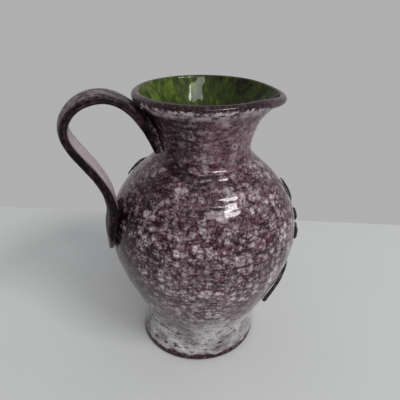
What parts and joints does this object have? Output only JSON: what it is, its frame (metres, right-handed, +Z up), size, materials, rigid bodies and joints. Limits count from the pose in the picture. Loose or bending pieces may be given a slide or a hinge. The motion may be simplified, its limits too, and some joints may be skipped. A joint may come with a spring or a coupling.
{
  "type": "ceramic jug",
  "caption": "Hand-thrown glazed jug with a round belly on a short foot, a flared neck with a pulled spout, a strap handle and an applied flowering branch; it holds and pours liquid.",
  "frame": {"origin": "centre of the flat underside of the foot", "axes": "+Z up along the foot's axis, +X towards the spout, -Y the plain side that faces the viewer in the picture"},
  "size_m": [0.1655, 0.1418, 0.2047],
  "materials": {
    "foot_glaze": "glossy off-white glaze with sparse purple flecks",
    "body_glaze": "glossy mottled aubergine glaze with pale spots, green glaze inside",
    "neck_glaze": "glossy mottled aubergine glaze, dark on the lip, green glaze inside",
    "handle_glaze": "glossy dark aubergine glaze, paler and streaked on the broad faces",
    "sprig_glaze": "glossy brown-black glaze"
  },
  "bodies": {
    "root": {"thrown_foot": "foot_glaze", "thrown_belly": "body_glaze", "neck_collar": "neck_glaze", "strap_handle": "handle_glaze", "branch_stem": "sprig_glaze", "upper_twig": "sprig_glaze", "leaf_right": "sprig_glaze", "leaf_right_shoulder": "sprig_glaze", "leaf_low_right": "sprig_glaze", "leaf_low_back": "sprig_glaze", "leaf_back": "sprig_glaze", "leaf_left": "sprig_glaze", "leaf_left_shoulder": "sprig_glaze", "right_blossom_eye": "sprig_glaze", "right_blossom_petal_1": "sprig_glaze", "right_blossom_petal_2": "sprig_glaze", "right_blossom_petal_3": "sprig_glaze", "right_blossom_petal_4": "sprig_glaze", "right_blossom_petal_5": "sprig_glaze", "back_blossom_eye": "sprig_glaze", "back_blossom_petal_1": "sprig_glaze", "back_blossom_petal_2": "sprig_glaze", "back_blossom_petal_3": "sprig_glaze", "back_blossom_petal_4": "sprig_glaze", "back_blossom_petal_5": "sprig_glaze"}
  },
  "joints": []
}
